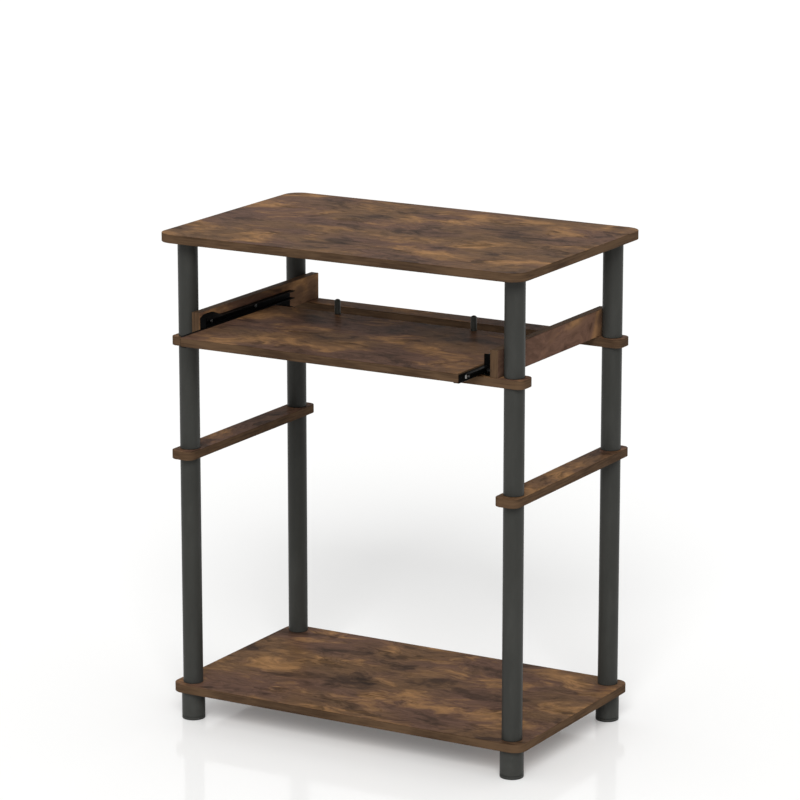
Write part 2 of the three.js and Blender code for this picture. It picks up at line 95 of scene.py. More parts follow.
def added(tree, first, second, clamp=False):
    return calculate(tree, "ADD", first, second, clamp)


def scaled(tree, value, factor):
    return calculate(tree, "MULTIPLY", value, factor)


def stretch(tree, vector, factors):
    return addNode(tree, "ShaderNodeVectorMath", {0: vector, 1: factors}, operation="MULTIPLY").outputs[0]


def noise(tree, vector, pattern, output="Fac"):
    # a pattern is a scale, or a stretch along x, y and z, then detail and roughness
    size, detail, roughness = pattern
    if isinstance(size, tuple):
        vector, size = stretch(tree, vector, size), 1.0
    inputs = {"Vector": vector, "Scale": size, "Detail": detail, "Roughness": roughness}
    return addNode(tree, "ShaderNodeTexNoise", inputs).outputs[output]


def ramp(tree, value, span=(0.0, 1.0), results=(0.0, 1.0)):
    # a soft step: the first result below the span, the second above it
    inputs = {
        "Value": value, "From Min": span[0], "From Max": span[1], "To Min": results[0], "To Max": results[1],
    }
    return addNode(tree, "ShaderNodeMapRange", inputs, interpolation_type="SMOOTHSTEP").outputs["Result"]


def spots(tree, vector, look, name):
    # a pattern's noise, through the soft step that goes with it
    return ramp(tree, noise(tree, vector, look[name]), look[name + "Span"])


def mixColour(tree, share, first, second, blend="MIX"):
    node = addNode(tree, "ShaderNodeMix", {0: share, 6: first, 7: second}, data_type="RGBA", blend_type=blend)
    return node.outputs[2]


def darken(tree, colour, factor):
    # a colour times a number
    grey = addNode(tree, "ShaderNodeCombineColor", {0: factor, 1: factor, 2: factor}).outputs[0]
    return mixColour(tree, 1.0, colour, grey, "MULTIPLY")


def startGroup(name, inputs, outputs):
    tree = bpy.data.node_groups.new(name, "ShaderNodeTree")
    for way, sockets in {"INPUT": inputs, "OUTPUT": outputs}.items():
        for label, kind in sockets.items():
            tree.interface.new_socket(name=label, in_out=way, socket_type=kind)
    return tree, tree.nodes.new("NodeGroupInput").outputs, tree.nodes.new("NodeGroupOutput")


def useGroup(tree, group, inputs):
    node = tree.nodes.new("ShaderNodeGroup")
    node.node_tree = group
    feed(tree, node, inputs)
    return node.outputs


def startMaterial(name):
    material = bpy.data.materials.new(name)
    material.use_nodes = True
    tree = material.node_tree
    tree.nodes.clear()
    shader = tree.nodes.new("ShaderNodeBsdfPrincipled")
    output = tree.nodes.new("ShaderNodeOutputMaterial")
    tree.links.new(shader.outputs[0], output.inputs["Surface"])
    return material, tree, shader


def objectPlace(tree, shift=(0, 0, 0), turn=(0, 0, 0)):
    place = addNode(tree, "ShaderNodeTexCoord").outputs["Object"]
    inputs = {"Vector": place, "Location": shift, "Rotation": turn}
    return addNode(tree, "ShaderNodeMapping", inputs).outputs[0]


def pieceAttribute(tree, name):
    return addNode(tree, "ShaderNodeAttribute", attribute_name=name).outputs["Fac"]


def bump(tree, height, strength, distance):
    inputs = {"Height": height, "Strength": strength, "Distance": distance}
    return addNode(tree, "ShaderNodeBump", inputs).outputs[0]


# Effects that several materials share. A span is where a soft step starts and ends, and a tone is the
# colour's factor at those two ends.
colourSocket, floatSocket, vectorSocket = "NodeSocketColor", "NodeSocketFloat", "NodeSocketVector"
foilPattern = {
    "drift": ((7, 11, 11), 3, 0.55), "driftReach": (0.16, 0.1, 0.1),
    "cloud": ((10, 15, 15), 5, 0.55), "cloudShare": 0.74,
    "mottle": ((36, 70, 70), 3, 0.6), "mottleShare": 0.26,
    "hue": ((4, 7, 7), 3, 0.6), "hueSpan": (0.4, 0.6), "brownSpan": (0.34, 0.48), "amberSpan": (0.49, 0.66),
    "streak": ((18, 170, 170), 5, 0.62), "streakSpan": (0.32, 0.68), "streakTone": (0.82, 1.18),
    "contour": ((4, 9, 9), 1.5, 0.5), "contourWaves": 150.0,
    "swirl": ((8, 13, 13), 2, 0.5), "swirlSpan": (0.42, 0.66), "swirlTone": (1.04, 0.84),
    "smudge": ((15, 30, 30), 4, 0.6), "smudgeSpan": (0.53, 0.7), "smudgeTone": (1.06, 0.55),
    "pore": ((60, 1100, 1100), 2, 0.5), "poreSpan": (0.58, 0.72), "poreTone": (1.0, 0.8),
    "streakRelief": 0.35, "poreRoughness": 0.12, "roughnessSpan": (0.3, 0.7), "roughness": (0.42, 0.5),
}
bandPattern = {
    "streak": ((22, 22, 420), 5, 0.6), "streakShare": 0.45,
    "tone": ((9, 9, 30), 4, 0.6), "toneShare": 0.55, "lightSpan": (0.36, 0.62),
}
wearPattern = {"patch": (130.0, 5, 0.65), "rarest": 0.85, "reach": 0.6, "softness": 0.08}
dustPattern = {
    "upwardSpan": (0.2, 0.95), "film": (16.0, 6, 0.7), "filmSpan": (0.42, 0.75), "filmShare": 0.6,
    "speck": (900.0, 1, 0.5), "speckSpan": (0.7, 0.8),
}


def makeFoilGroup():
    # Printed rustic foil: burl clouds in three browns, contour swirls inside them, streaks along x, pores
    # and dark smudges. Most of them are noises of a place that a slower noise has bent.
    browns = dict.fromkeys(("Dark", "Plum", "Brown", "Amber"), colourSocket)
    tree, given, result = startGroup(
        "rusticFoil", {"Vector": vectorSocket, **browns},
        {"Colour": colourSocket, "Height": floatSocket, "Roughness": floatSocket},
    )
    look, place = foilPattern, given["Vector"]
    drift = noise(tree, place, look["drift"], "Color")
    middle = {0: drift, 1: (0.5, 0.5, 0.5)}
    centred = addNode(tree, "ShaderNodeVectorMath", middle, operation="SUBTRACT").outputs[0]
    moved = {0: centred, 1: look["driftReach"], 2: place}
    bent = addNode(tree, "ShaderNodeVectorMath", moved, operation="MULTIPLY_ADD").outputs[0]
    cloud, mottle = noise(tree, bent, look["cloud"]), noise(tree, bent, look["mottle"])
    tone = added(tree, scaled(tree, cloud, look["cloudShare"]), scaled(tree, mottle, look["mottleShare"]))
    contour = calculate(tree, "SINE", scaled(tree, noise(tree, bent, look["contour"]), look["contourWaves"]))
    swirlShare = scaled(tree, ramp(tree, contour), spots(tree, place, look, "swirl"))
    streak = noise(tree, bent, look["streak"])
    poreShare = spots(tree, bent, look, "pore")
    smudgeShare = spots(tree, bent, look, "smudge")
    ground = mixColour(tree, spots(tree, place, look, "hue"), given["Plum"], given["Brown"])
    brown = mixColour(tree, ramp(tree, tone, look["brownSpan"]), given["Dark"], ground)
    colour = mixColour(tree, ramp(tree, tone, look["amberSpan"]), brown, given["Amber"])
    colour = darken(tree, colour, ramp(tree, streak, look["streakSpan"], look["streakTone"]))
    for share, tones in ((swirlShare, "swirlTone"), (smudgeShare, "smudgeTone"), (poreShare, "poreTone")):
        colour = darken(tree, colour, ramp(tree, share, results=look[tones]))
    relief = calculate(tree, "SUBTRACT", scaled(tree, streak, look["streakRelief"]), poreShare)
    smoother = ramp(tree, cloud, look["roughnessSpan"], look["roughness"])
    dull = added(tree, scaled(tree, poreShare, look["poreRoughness"]), smoother)
    feed(tree, result, {"Colour": colour, "Height": relief, "Roughness": dull})
    return tree


def makeBandGroup():
    # Edge banding: streaks that run round the board's side, with slow changes of tone
    tree, given, result = startGroup(
        "edgeBand", {"Vector": vectorSocket, "Light": colourSocket, "Dark": colourSocket},
        {"Colour": colourSocket, "Height": floatSocket},
    )
    look, place = bandPattern, given["Vector"]
    streak, tone = noise(tree, place, look["streak"]), noise(tree, place, look["tone"])
    both = added(tree, scaled(tree, streak, look["streakShare"]), scaled(tree, tone, look["toneShare"]))
    colour = mixColour(tree, ramp(tree, both, look["lightSpan"]), given["Dark"], given["Light"])
    feed(tree, result, {"Colour": colour, "Height": streak})
    return tree


def makeWearGroup():
    # Edge wear: the arris value of a piece broken up by noise, as a mask
    tree, given, result = startGroup(
        "edgeWear", {"Vector": vectorSocket, "Arris": floatSocket, "Share": floatSocket},
        {"Mask": floatSocket},
    )
    look = wearPattern
    limit = calculate(tree, "SUBTRACT", look["rarest"], scaled(tree, given["Share"], look["reach"]))
    past = calculate(tree, "SUBTRACT", noise(tree, given["Vector"], look["patch"]), limit)
    mask = ramp(tree, scaled(tree, past, given["Arris"]), (0.0, look["softness"]))
    feed(tree, result, {"Mask": mask})
    return tree


def makeDustGroup():
    # Fine dust: specks and a thin film on what faces up, as a mask
    tree, given, result = startGroup(
        "fineDust", {"Vector": vectorSocket, "Facing": vectorSocket, "Amount": floatSocket},
        {"Mask": floatSocket},
    )
    look, place = dustPattern, given["Vector"]
    height = addNode(tree, "ShaderNodeSeparateXYZ", {0: given["Facing"]}).outputs["Z"]
    upward = ramp(tree, height, look["upwardSpan"])
    film, speck = spots(tree, place, look, "film"), spots(tree, place, look, "speck")
    both = added(tree, scaled(tree, film, look["filmShare"]), speck, clamp=True)
    feed(tree, result, {"Mask": scaled(tree, scaled(tree, both, upward), given["Amount"])})
    return tree


foilGroup = makeFoilGroup()
bandGroup = makeBandGroup()
wearGroup = makeWearGroup()
dustGroup = makeDustGroup()

# Materials
boardFinish = {
    "dark": (0.044, 0.0252, 0.0168, 1),
    "plum": (0.106, 0.059, 0.041, 1),
    "brown": (0.122, 0.069, 0.037, 1),
    "amber": (0.27, 0.146, 0.064, 1),
    "bandLight": (0.096, 0.058, 0.033, 1),
    "bandDark": (0.045, 0.027, 0.0165, 1),
    "bandSpan": (0.45, 0.75),
    "dust": (0.32, 0.29, 0.26, 1), "dustAmount": 0.012, "dustRoughness": 0.6,
    "worn": (0.17, 0.11, 0.07, 1), "wear": 0.3, "arrisSpan": (0.35, 1.0), "arrisTone": (1.0, 0.85),
    "reliefStrength": 0.35, "reliefDistance": 0.00012, "specular": 0.006,
}
coating = {
    "toneDetail": (4, 0.6), "toneSpan": (0.3, 0.7), "skinDetail": (2, 0.55), "rubDetail": (5, 0.7),
    "rubSpan": (0.35, 0.75), "rubTone": (0.94, 1.08), "glossSpan": (0.3, 0.75), "dustRoughness": 0.5,
}


def weather(tree, colour, arris, look):
    # wears the arrises and lays dust on what faces up: gives the colour and the dust's mask
    coordinates = addNode(tree, "ShaderNodeTexCoord").outputs
    place = coordinates["Object"]
    worn = useGroup(tree, wearGroup, {"Vector": place, "Arris": arris, "Share": look["wear"]})["Mask"]
    edged = mixColour(tree, worn, colour, look["worn"])
    dusty = useGroup(tree, dustGroup, {
        "Vector": place, "Facing": coordinates["Normal"], "Amount": look["dustAmount"],
    })["Mask"]
    return mixColour(tree, dusty, edged, look["dust"]), dusty


def makeBoardMaterial(name, shift, turn, bandTurn, figure=1.0):
    # turn lays the foil's grain along the board, bandTurn lays the board's thickness on z, and a figure
    # below 1 makes the pattern larger
    material, tree, shader = startMaterial(name)
    look = boardFinish
    foil = useGroup(tree, foilGroup, {
        "Vector": stretch(tree, objectPlace(tree, shift, turn), (figure, figure, figure)),
        "Dark": look["dark"], "Plum": look["plum"], "Brown": look["brown"], "Amber": look["amber"],
    })
    band = useGroup(tree, bandGroup, {
        "Vector": objectPlace(tree, shift, bandTurn), "Light": look["bandLight"], "Dark": look["bandDark"],
    })
    onBand, arris = pieceAttribute(tree, "band"), pieceAttribute(tree, "arris")
    colour = mixColour(tree, ramp(tree, onBand, look["bandSpan"]), foil["Colour"], band["Colour"])
    lined = darken(tree, colour, ramp(tree, arris, look["arrisSpan"], look["arrisTone"]))
    finish, dusty = weather(tree, lined, arris, look)
    relief = added(tree, foil["Height"], scaled(tree, band["Height"], onBand))
    feed(tree, shader, {
        "Base Color": finish,
        "Roughness": added(tree, foil["Roughness"], scaled(tree, dusty, look["dustRoughness"]), clamp=True),
        "Normal": bump(tree, relief, look["reliefStrength"], look["reliefDistance"]),
        "Specular IOR Level": look["specular"],
    })
    return material


def makeCoatedMaterial(name, look):
    # Paint, plastic or plating: slow changes of tone, a fine skin relief, handling marks, painted shade that
    # darkens the arrises, and worn arrises
    material, tree, shader = startMaterial(name)
    place = addNode(tree, "ShaderNodeTexCoord").outputs["Object"]
    tone = noise(tree, place, (look["toneStretch"], *coating["toneDetail"]))
    skin = noise(tree, place, (look["skinScale"], *coating["skinDetail"]))
    rub = noise(tree, place, (look["rubStretch"], *coating["rubDetail"]))
    colour = mixColour(tree, ramp(tree, tone, coating["toneSpan"]), look["low"], look["high"])
    rubbed = darken(tree, colour, ramp(tree, rub, coating["rubSpan"], coating["rubTone"]))
    arris = pieceAttribute(tree, "arris")
    # painted shade: the rounded edges are darkened by the finish's arrisTone
    shaded = darken(tree, rubbed, ramp(tree, arris, results=(1.0, look["arrisTone"])))
    finish, dusty = weather(tree, shaded, arris, look)
    gloss = ramp(tree, rub, coating["glossSpan"], look["roughness"])
    feed(tree, shader, {
        "Base Color": finish,
        "Roughness": added(tree, gloss, scaled(tree, dusty, coating["dustRoughness"]), clamp=True),
        "Metallic": look["metallic"],
        "Normal": bump(tree, skin, look["skinStrength"], look["skinDistance"]),
        "Specular IOR Level": look["specular"],
    })
    return material


# In these finishes arrisTone is painted shade: the factor that darkens a piece's rounded edges
plainFinish = {"dust": (0.3, 0.29, 0.27, 1), "dustAmount": 0.1, "wear": 0.3, "metallic": 0.0, "specular": 0.2}
tubeFinish = {
    **plainFinish, "arrisTone": 0.75,
    "low": (0.03, 0.0303, 0.0272, 1), "high": (0.038, 0.0383, 0.035, 1), "worn": (0.14, 0.14, 0.13, 1),
    "toneStretch": (14, 14, 5), "rubStretch": (60, 60, 18), "skinScale": 1500,
    "roughness": (0.35, 0.45), "specular": 0.1, "skinStrength": 0.35, "skinDistance": 0.0001,
}
footFinish = {
    **plainFinish, "dustAmount": 0.15, "arrisTone": 0.45, "wear": 0.35,
    "low": (0.034, 0.0345, 0.031, 1), "high": (0.042, 0.0425, 0.039, 1), "worn": (0.1, 0.1, 0.09, 1),
    "toneStretch": (30, 30, 30), "rubStretch": (90, 90, 40), "skinScale": 2200,
    "roughness": (0.39, 0.51), "specular": 0.1, "skinStrength": 0.5, "skinDistance": 0.00012,
}
slideFinish = {
    "low": (0.0016, 0.0016, 0.0016, 1), "high": (0.0032, 0.0032, 0.0032, 1), "worn": (0.05, 0.05, 0.048, 1),
    "dust": (0.16, 0.155, 0.145, 1), "dustAmount": 0.03, "arrisTone": 1.0, "wear": 0.18,
    "toneStretch": (40, 12, 40), "rubStretch": (160, 20, 160), "skinScale": 1800,
    "roughness": (0.32, 0.44), "metallic": 0.0, "specular": 0.015,
    "skinStrength": 0.3, "skinDistance": 0.00008,
}
zincFinish = {
    "low": (0.4, 0.4, 0.39, 1), "high": (0.54, 0.535, 0.52, 1), "worn": (0.7, 0.69, 0.66, 1),
    "dust": (0.3, 0.28, 0.25, 1), "dustAmount": 0.12, "arrisTone": 1.0, "wear": 0.4,
    "toneStretch": (300, 300, 300), "rubStretch": (500, 500, 120), "skinScale": 3000,
    "roughness": (0.24, 0.4), "metallic": 1.0, "specular": 0.5, "skinStrength": 0.25, "skinDistance": 0.00004,
}
# painted shade: a darker copy of the zinc, for the cabinet screws and the tray rivets
shadedZincFinish = {
    **zincFinish,
    "low": (0.09, 0.09, 0.088, 1), "high": (0.13, 0.129, 0.125, 1), "worn": (0.3, 0.295, 0.28, 1),
    "dust": (0.2, 0.19, 0.17, 1), "dustAmount": 0.1, "arrisTone": 0.7, "wear": 0.3, "roughness": (0.28, 0.44),
}
rollerFinish = {
    **plainFinish, "dust": (0.2, 0.19, 0.17, 1), "arrisTone": 0.9, "wear": 0.5,
    "low": (0.005, 0.005, 0.005, 1), "high": (0.01, 0.01, 0.0095, 1), "worn": (0.04, 0.04, 0.038, 1),
    "toneStretch": (200, 200, 200), "rubStretch": (60, 500, 500), "skinScale": 3500,
    "roughness": (0.34, 0.5), "skinStrength": 0.4, "skinDistance": 0.00005,
}
stopFinish = {
    **plainFinish, "arrisTone": 0.7,
    "low": (0.038, 0.039, 0.033, 1), "high": (0.05, 0.051, 0.044, 1), "worn": (0.09, 0.09, 0.08, 1),
    "toneStretch": (90, 90, 60), "rubStretch": (300, 300, 120), "skinScale": 2600,
    "roughness": (0.34, 0.46), "skinStrength": 0.4, "skinDistance": 0.00006,
}
tubeMaterial = makeCoatedMaterial("charcoalTube", tubeFinish)
footMaterial = makeCoatedMaterial("footPlastic", footFinish)
slideMaterial = makeCoatedMaterial("slideEpoxy", slideFinish)
zincMaterial = makeCoatedMaterial("brightZinc", zincFinish)
shadedZincMaterial = makeCoatedMaterial("dullZinc", shadedZincFinish)
rollerMaterial = makeCoatedMaterial("rollerNylon", rollerFinish)
stopMaterial = makeCoatedMaterial("stopPlastic", stopFinish)
print("materials made:", len(bpy.data.materials))


# Surfaces. A skin is its points, its faces and the marks on its points: arris is 1 on the rounded edges, and
# band is 1 on a board's sides.
softening = {"reach": 0.3, "support": 1.6}  # a share of the edge, and of the radius
sharpAngle = 42


def softened(corners, radius, steps, closed=False):
    # Each row is a point of a profile: two numbers for its place, and the rest carried along. A corner
    # becomes the quadratic curve between the points at the radius on either side of it, with a support
    # point beyond each end, and takes no more of an edge than the reach. A last column tells the curve (1)
    # from the flat parts (0).
    corners = np.asarray(corners, float)
    ways = [np.roll(corners, step, axis=0) - corners for step in (1, -1)]
    lengths = [np.linalg.norm(way[:, :2], axis=1) for way in ways]
    shares = [np.minimum(np.asarray(radius) / length, softening["reach"])[:, None] for length in lengths]
    start, end = [corners + way * share for way, share in zip(ways, shares)]
    t = np.linspace(0, 1, steps + 1)[:, None, None]
    curve = (1 - t) ** 2 * start + 2 * t * (1 - t) * corners + t**2 * end
    supports = [corners + way * share * softening["support"] for way, share in zip(ways, shares)]
    rows = np.concatenate([supports[:1], curve, supports[1:]])
    arris = np.ones(rows.shape[:2] + (1,))
    arris[0], arris[-1] = 0, 0
    rows = np.concatenate([rows, arris], axis=2).transpose(1, 0, 2)
    if closed:
        return rows.reshape(-1, rows.shape[-1])
    ends = np.concatenate([corners[[0, -1]], np.zeros((2, 1))], axis=1)
    return np.concatenate([ends[:1], rows[1:-1].reshape(-1, rows.shape[-1]), ends[1:]])


def domedProfile(outline, radius, top, shape):
    # the outline's soft corners, and then a quarter ellipse from the radius up to the top
    q = np.linspace(0, np.pi / 2, shape["domeSteps"] + 1)
    dome = np.stack([radius * np.cos(q), top - shape["dome"] * (1 - np.sin(q))], axis=1)
    dome[-1, 0] = 0
    lower = softened([*outline, dome[0]], shape["corners"], shape["steps"])
    return np.concatenate([lower, np.column_stack([dome[1:], np.zeros(len(dome) - 1)])])


def skinFaces(ids):
    # Quads between rings of vertex numbers, each ring closed on itself. A quad that a pole pinches becomes
    # a triangle.
    ids = np.concatenate([ids, ids[:, :1]], axis=1)
    quads = np.stack([ids[:-1, :-1], ids[:-1, 1:], ids[1:, 1:], ids[1:, :-1]], axis=-1).reshape(-1, 4)
    pinchedFirst, pinchedLast = quads[:, 0] == quads[:, 1], quads[:, 2] == quads[:, 3]
    whole = quads[~(pinchedFirst | pinchedLast)].tolist()
    return whole + quads[pinchedFirst][:, [0, 2, 3]].tolist() + quads[pinchedLast][:, [0, 1, 2]].tolist()


def flatFaces(points, rings, plane, side):
    # triangles that fill the first ring of vertex numbers and leave the others open, turned to the side
    order = np.concatenate(rings)
    triangles = np.array(tessellate_polygon([points[ring].tolist() for ring in rings]))
    corners = points[order][:, plane][triangles]
    first, second = corners[:, 1] - corners[:, 0], corners[:, 2] - corners[:, 0]
    area = first[:, 0] * second[:, 1] - first[:, 1] * second[:, 0]
    wrong = area * side < 0
    triangles[wrong] = triangles[wrong][:, ::-1]
    return order[triangles[area != 0]].tolist()


def ringSkin(rings, arris, looped=False):
    # Rings of points, with an arris value for each ring. A ring whose points lie in one place becomes one
    # vertex, and a looped skin joins its last ring to its first.
    ids = np.arange(rings.shape[0] * rings.shape[1]).reshape(rings.shape[:2])
    pole = (rings == rings[:, :1]).all(axis=(1, 2))
    ids[pole] = ids[pole][:, :1]
    used, compact = np.unique(ids, return_inverse=True)
    ids = compact.reshape(ids.shape)
    faces = skinFaces(np.concatenate([ids, ids[:1]]) if looped else ids)
    return rings.reshape(-1, 3)[used], faces, {"arris": np.repeat(arris, rings.shape[1])[used]}


def turned(profile, count):
    # a profile's row is radius and height: its point at angle a is (radius cos a, radius sin a, height)
    angle = np.linspace(0, 2 * np.pi, count, endpoint=False)
    height = np.repeat(profile[:, 1:2], count, axis=1)
    return np.stack([profile[:, :1] * np.cos(angle), profile[:, :1] * np.sin(angle), height], axis=-1)


def turnedSkin(profile, count, looped=False):
    # profile rows are radius, height and arris value, going up on the outside
    return ringSkin(turned(profile, count), profile[:, 2], looped)


def boxOf(node):
    low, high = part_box(node)
    return np.array(low), np.array(high)


def sizeOf(node):
    low, high = boxOf(node)
    return high - low


def middleOf(node):
    low, high = boxOf(node)
    return (low + high) / 2


def standing(node, skin):
    # a skin made upwards from z = 0, put on its node's underside
    points, faces, marks = skin
    return points + [*middleOf(node)[:2], boxOf(node)[0][2]], faces, marks


def turnToX(points, direction):
    # lays a shape made along z on the x axis, towards +x (1) or -x (-1)
    return np.stack([direction * points[:, 2], points[:, 1], -direction * points[:, 0]], axis=1)


def lying(node, skin, height, direction=1):
    # a skin made along z, laid on the x axis with its given height at the node's middle
    points, faces, marks = skin
    return turnToX(points - [0, 0, height], direction) + middleOf(node), faces, marks


def makePiece(name, skin, body, material, nodes=()):
    points, faces, marks = skin
    mesh = bpy.data.meshes.new(name)
    mesh.from_pydata(points, [], faces)
    for label, values in marks.items():
        mesh.attributes.new(label, "FLOAT", "POINT").data.foreach_set("value", np.asarray(values, np.float32))
    mesh.polygons.foreach_set("use_smooth", np.ones(len(mesh.polygons), bool))
    mesh.set_sharp_from_angle(angle=math.radians(sharpAngle))
    mesh.materials.append(material)
    mesh.validate()
    piece = bpy.data.objects.new(name, mesh)
    bpy.context.scene.collection.objects.link(piece)
    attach(piece, body)
    if nodes:
        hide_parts(*nodes)


# Boards
boardShape = {
    "arris": 0.0007, "arrisSteps": 4, "cornerSteps": 12, "leastCorner": 0.00004,
    "flatStart": 2.4,  # how far in the flat faces start, in widths of the arris
    "desktopCorner": 0.026, "shelfCorner": 0.02, "narrowCorner": 0.012, "squareCorner": 0.0008,
    "passingHole": 0.0078, "desktopHole": 0.0073, "desktopHoleDepth": 0.0092,
    "stopHole": 0.0027, "stopHoleDepth": 0.0082, "holePoints": 40,
    "openWithin": 1e-6,  # a hole that ends this near a face is open there
}


def roundedOutline(halfLength, halfWidth, corner, inset):
    # the rounded rectangle that lies inside the full one by the inset, counter-clockwise
    radius = max(corner - inset, boardShape["leastCorner"])
    quarter = np.linspace(0, np.pi / 2, boardShape["cornerSteps"] + 1)
    turn = np.array([0, 1, 2, 3])[:, None] * np.pi / 2 + quarter
    signs = np.array([[1, 1], [-1, 1], [-1, -1], [1, -1]])[:, None]
    middle = signs * (np.array([halfLength, halfWidth]) - inset - radius)
    return (middle + radius * np.stack([np.cos(turn), np.sin(turn)], axis=-1)).reshape(-1, 2)


def boardSkin(length, width, thickness, corner, holes=(), arris=boardShape["arris"]):
    # Rounded outlines stacked through the thickness: inset on the flats, a quarter circle at each arris,
    # upright down the side. A hole is (x, y, radius, bottom, top): from one face to the other, or blind.
    half, flat = thickness / 2, boardShape["flatStart"] * arris
    q = np.linspace(0, np.pi / 2, boardShape["arrisSteps"] + 1)
    lowerInset, lowerRise = arris * (1 - np.sin(q)), -half + arris * (1 - np.cos(q))
    inset = np.concatenate([[flat], lowerInset, [0, 0], lowerInset[::-1], [flat]])
    rise = np.concatenate([[-half], lowerRise, [flat - half, half - flat], -lowerRise[::-1], [half]])
    share, ones = q / q[-1], np.ones(len(q))
    band = np.concatenate([[0], share, [1, 1], share[::-1], [0]])
    edge = np.concatenate([[0], ones, [0, 0], ones, [0]])
    outlines = np.stack([roundedOutline(length / 2, width / 2, corner, d) for d in inset])
    rows, count = outlines.shape[:2]
    risen = np.repeat(rise[:, None, None], count, axis=1)
    points = [np.concatenate([outlines, risen], axis=2).reshape(-1, 3)]
    ids = np.arange(rows * count).reshape(rows, count)
    faces = skinFaces(ids)
    loops = {-1: [ids[0]], 1: [ids[-1]]}
    total = rows * count
    angle = np.linspace(0, 2 * np.pi, boardShape["holePoints"], endpoint=False)
    for x, y, radius, *heights in holes:
        ring = np.stack([x + radius * np.cos(angle), y + radius * np.sin(angle)], axis=1)
        points += [np.column_stack([ring, np.full(len(ring), height)]) for height in heights]
        wall = total + np.arange(2 * len(ring)).reshape(2, -1)
        total += wall.size
        faces += skinFaces(wall[::-1])
        for side, height, row in zip((-1, 1), heights, wall):
            if abs(height - side * half) < boardShape["openWithin"]:
                loops[side].append(row)
            else:
                faces.append(row[::-side].tolist())
    points = np.concatenate(points)
    for side, rings in loops.items():
        faces += flatFaces(points, rings, [0, 1], side)
    inHoles = np.zeros(total - rows * count)
    marks = {
        label: np.concatenate([np.repeat(values, count), inHoles])
        for label, values in {"band": band, "arris": edge}.items()
    }
    return points, faces, marks


def makeBoard(node, corner, body="desk", holes=()):
    # flat boards are made along x; holes are placed from the board's middle
    points, faces, marks = boardSkin(*sizeOf(node), corner, holes)
    skin = points + middleOf(node), faces, marks
    makePiece(node + "_foiled", skin, body, boardMaterials[node], [node])


def makePanel(node):
    # a board on edge: its length lies on y, its height on z and its thickness on x
    thickness, length, height = sizeOf(node)
    points, faces, marks = boardSkin(length, height, thickness, boardShape["squareCorner"])
    skin = points[:, [2, 0, 1]] + middleOf(node), faces, marks
    makePiece(node + "_foiled", skin, "desk", boardMaterials[node], [node])


def postHoles(node, names, radius, depth=None):
    # holes up from a board's underside at the posts, as deep as said or right through
    middle, thickness = middleOf(node), sizeOf(node)[2]
    top = thickness / 2 if depth is None else depth - thickness / 2
    places = [(middleOf("lower_tube_" + post) - middle)[:2] for post in names]
    return [(*place, radius, -thickness / 2, top) for place in places]


alongX, alongY, onEdge = (0, 0, 0), (0, 0, math.pi / 2), (0, math.pi / 2, 0)
foilPlaces = {  # name, shift, the foil's turn, the banding's turn and the figure
    "desktop": ("desktopFoil", (7.41, 0.36, 1.1), alongX, alongX),
    "bottom_shelf": ("shelfFoil", (1.73, 2.2, 0.1), alongX, alongX),
    "keyboard_tray": ("trayFoil", (3.1, 0.55, 1.4), alongX, alongX),
    "front_stretcher": ("frontStretcherFoil", (4.4, 1.6, 2.3), alongX, alongX),
    "back_stretcher": ("backStretcherFoil", (5.2, 3.3, 3.7), alongX, alongX),
    "left_mid_rail": ("leftMidRailFoil", (6.6, 4.1, 4.5), alongY, alongX),
    "right_mid_rail": ("rightMidRailFoil", (7.3, 5.7, 5.2), alongY, alongX),
    "left_slide_panel": ("leftPanelFoil", (8.8, 6.4, 6.6), alongY, onEdge, 0.6),
    "right_slide_panel": ("rightPanelFoil", (9.5, 7.9, 7.1), alongY, onEdge, 0.6),
}
boardMaterials = {node: makeBoardMaterial(*place) for node, place in foilPlaces.items()}
posts = [side + "_" + end for side in ("front", "rear") for end in ("left", "right")]
desktopHoles = postHoles("desktop", posts, boardShape["desktopHole"], boardShape["desktopHoleDepth"])
makeBoard("desktop", boardShape["desktopCorner"], holes=desktopHoles)
for node, (corner, names) in {
    "bottom_shelf": ("shelfCorner", posts),
    "front_stretcher": ("narrowCorner", ["front_left", "front_right"]),
    "back_stretcher": ("narrowCorner", ["rear_left", "rear_right"]),
    "left_mid_rail": ("narrowCorner", ["front_left", "rear_left"]),
    "right_mid_rail": ("narrowCorner", ["front_right", "rear_right"]),
}.items():
    makeBoard(node, boardShape[corner], holes=postHoles(node, names, boardShape["passingHole"]))

trayMiddle, trayHalf = middleOf("keyboard_tray"), sizeOf("keyboard_tray")[2] / 2
stopHoles = [
    (
        *(middleOf(side + "_keyboard_stop") - trayMiddle)[:2], boardShape["stopHole"],
        trayHalf - boardShape["stopHoleDepth"], trayHalf,
    )
    for side in ("left", "right")
]
makeBoard("keyboard_tray", boardShape["squareCorner"], "tray", stopHoles)
makePanel("left_slide_panel")
makePanel("right_slide_panel")
print("boards made")

# Posts
tubeShape = {
    "wall": 0.0016, "rim": 0.0008, "edge": 0.0003, "bush": 0.016, "bore": 0.0073, "steps": 5, "count": 72,
}
footShape = {
    "edge": 0.003, "groove": 0.0006, "grooveHeight": 0.005, "grooveEdge": 0.0002,
    "bodyTop": 0.0438, "bodyEdge": 0.0009, "stud": 0.007, "studRoot": 0.0004, "steps": 5, "count": 72,
}


def makeTube(node):
    # outer wall with rolled rims, then back down through the bush, the hollow and the lower bush
    width, _, height = sizeOf(node)
    radius, rim, edge = width / 2, tubeShape["rim"], tubeShape["edge"]
    inside, bore, bush = radius - tubeShape["wall"], tubeShape["bore"], tubeShape["bush"]
    outline = [
        (bore, 0), (radius, 0), (radius, height), (bore, height),
        (bore, height - bush), (inside, height - bush), (inside, bush), (bore, bush),
    ]
    profile = softened(outline, [edge, rim, rim] + [edge] * 5, tubeShape["steps"], closed=True)
    skin = turnedSkin(profile, tubeShape["count"], looped=True)
    makePiece(node + "_coated", standing(node, skin), "desk", tubeMaterial, [node])


